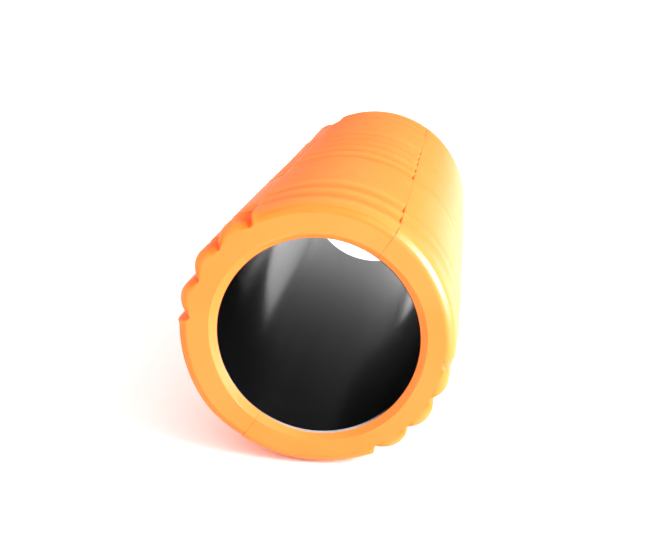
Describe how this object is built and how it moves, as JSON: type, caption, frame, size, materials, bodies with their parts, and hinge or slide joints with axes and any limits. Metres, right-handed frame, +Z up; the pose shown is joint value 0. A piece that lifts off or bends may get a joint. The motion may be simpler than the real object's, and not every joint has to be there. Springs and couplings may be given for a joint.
{
  "type": "foam roller",
  "caption": "Hollow massage roller: a rigid plastic core tube inside a moulded foam sleeve with ring grooves, finger blocks and smooth bands.",
  "frame": {"origin": "centre of the core bore at half the roller's length", "axes": "the roller lies on its side: +Y along its axis, +Z up, +X to the right when seen from the -Y end"},
  "size_m": [0.14, 0.33, 0.14],
  "materials": {
    "core_plastic": "black extruded ABS, satin bore",
    "foam": "moulded closed-cell EVA foam, fine matte skin",
    "adhesive": "dried contact adhesive"
  },
  "bodies": {
    "root": {"core_tube": "core_plastic", "foam_half_left": "foam", "foam_half_right": "foam", "bond_layer_left": "adhesive", "bond_layer_right": "adhesive", "seam_bond_upper": "adhesive", "seam_bond_lower": "adhesive"}
  },
  "joints": []
}
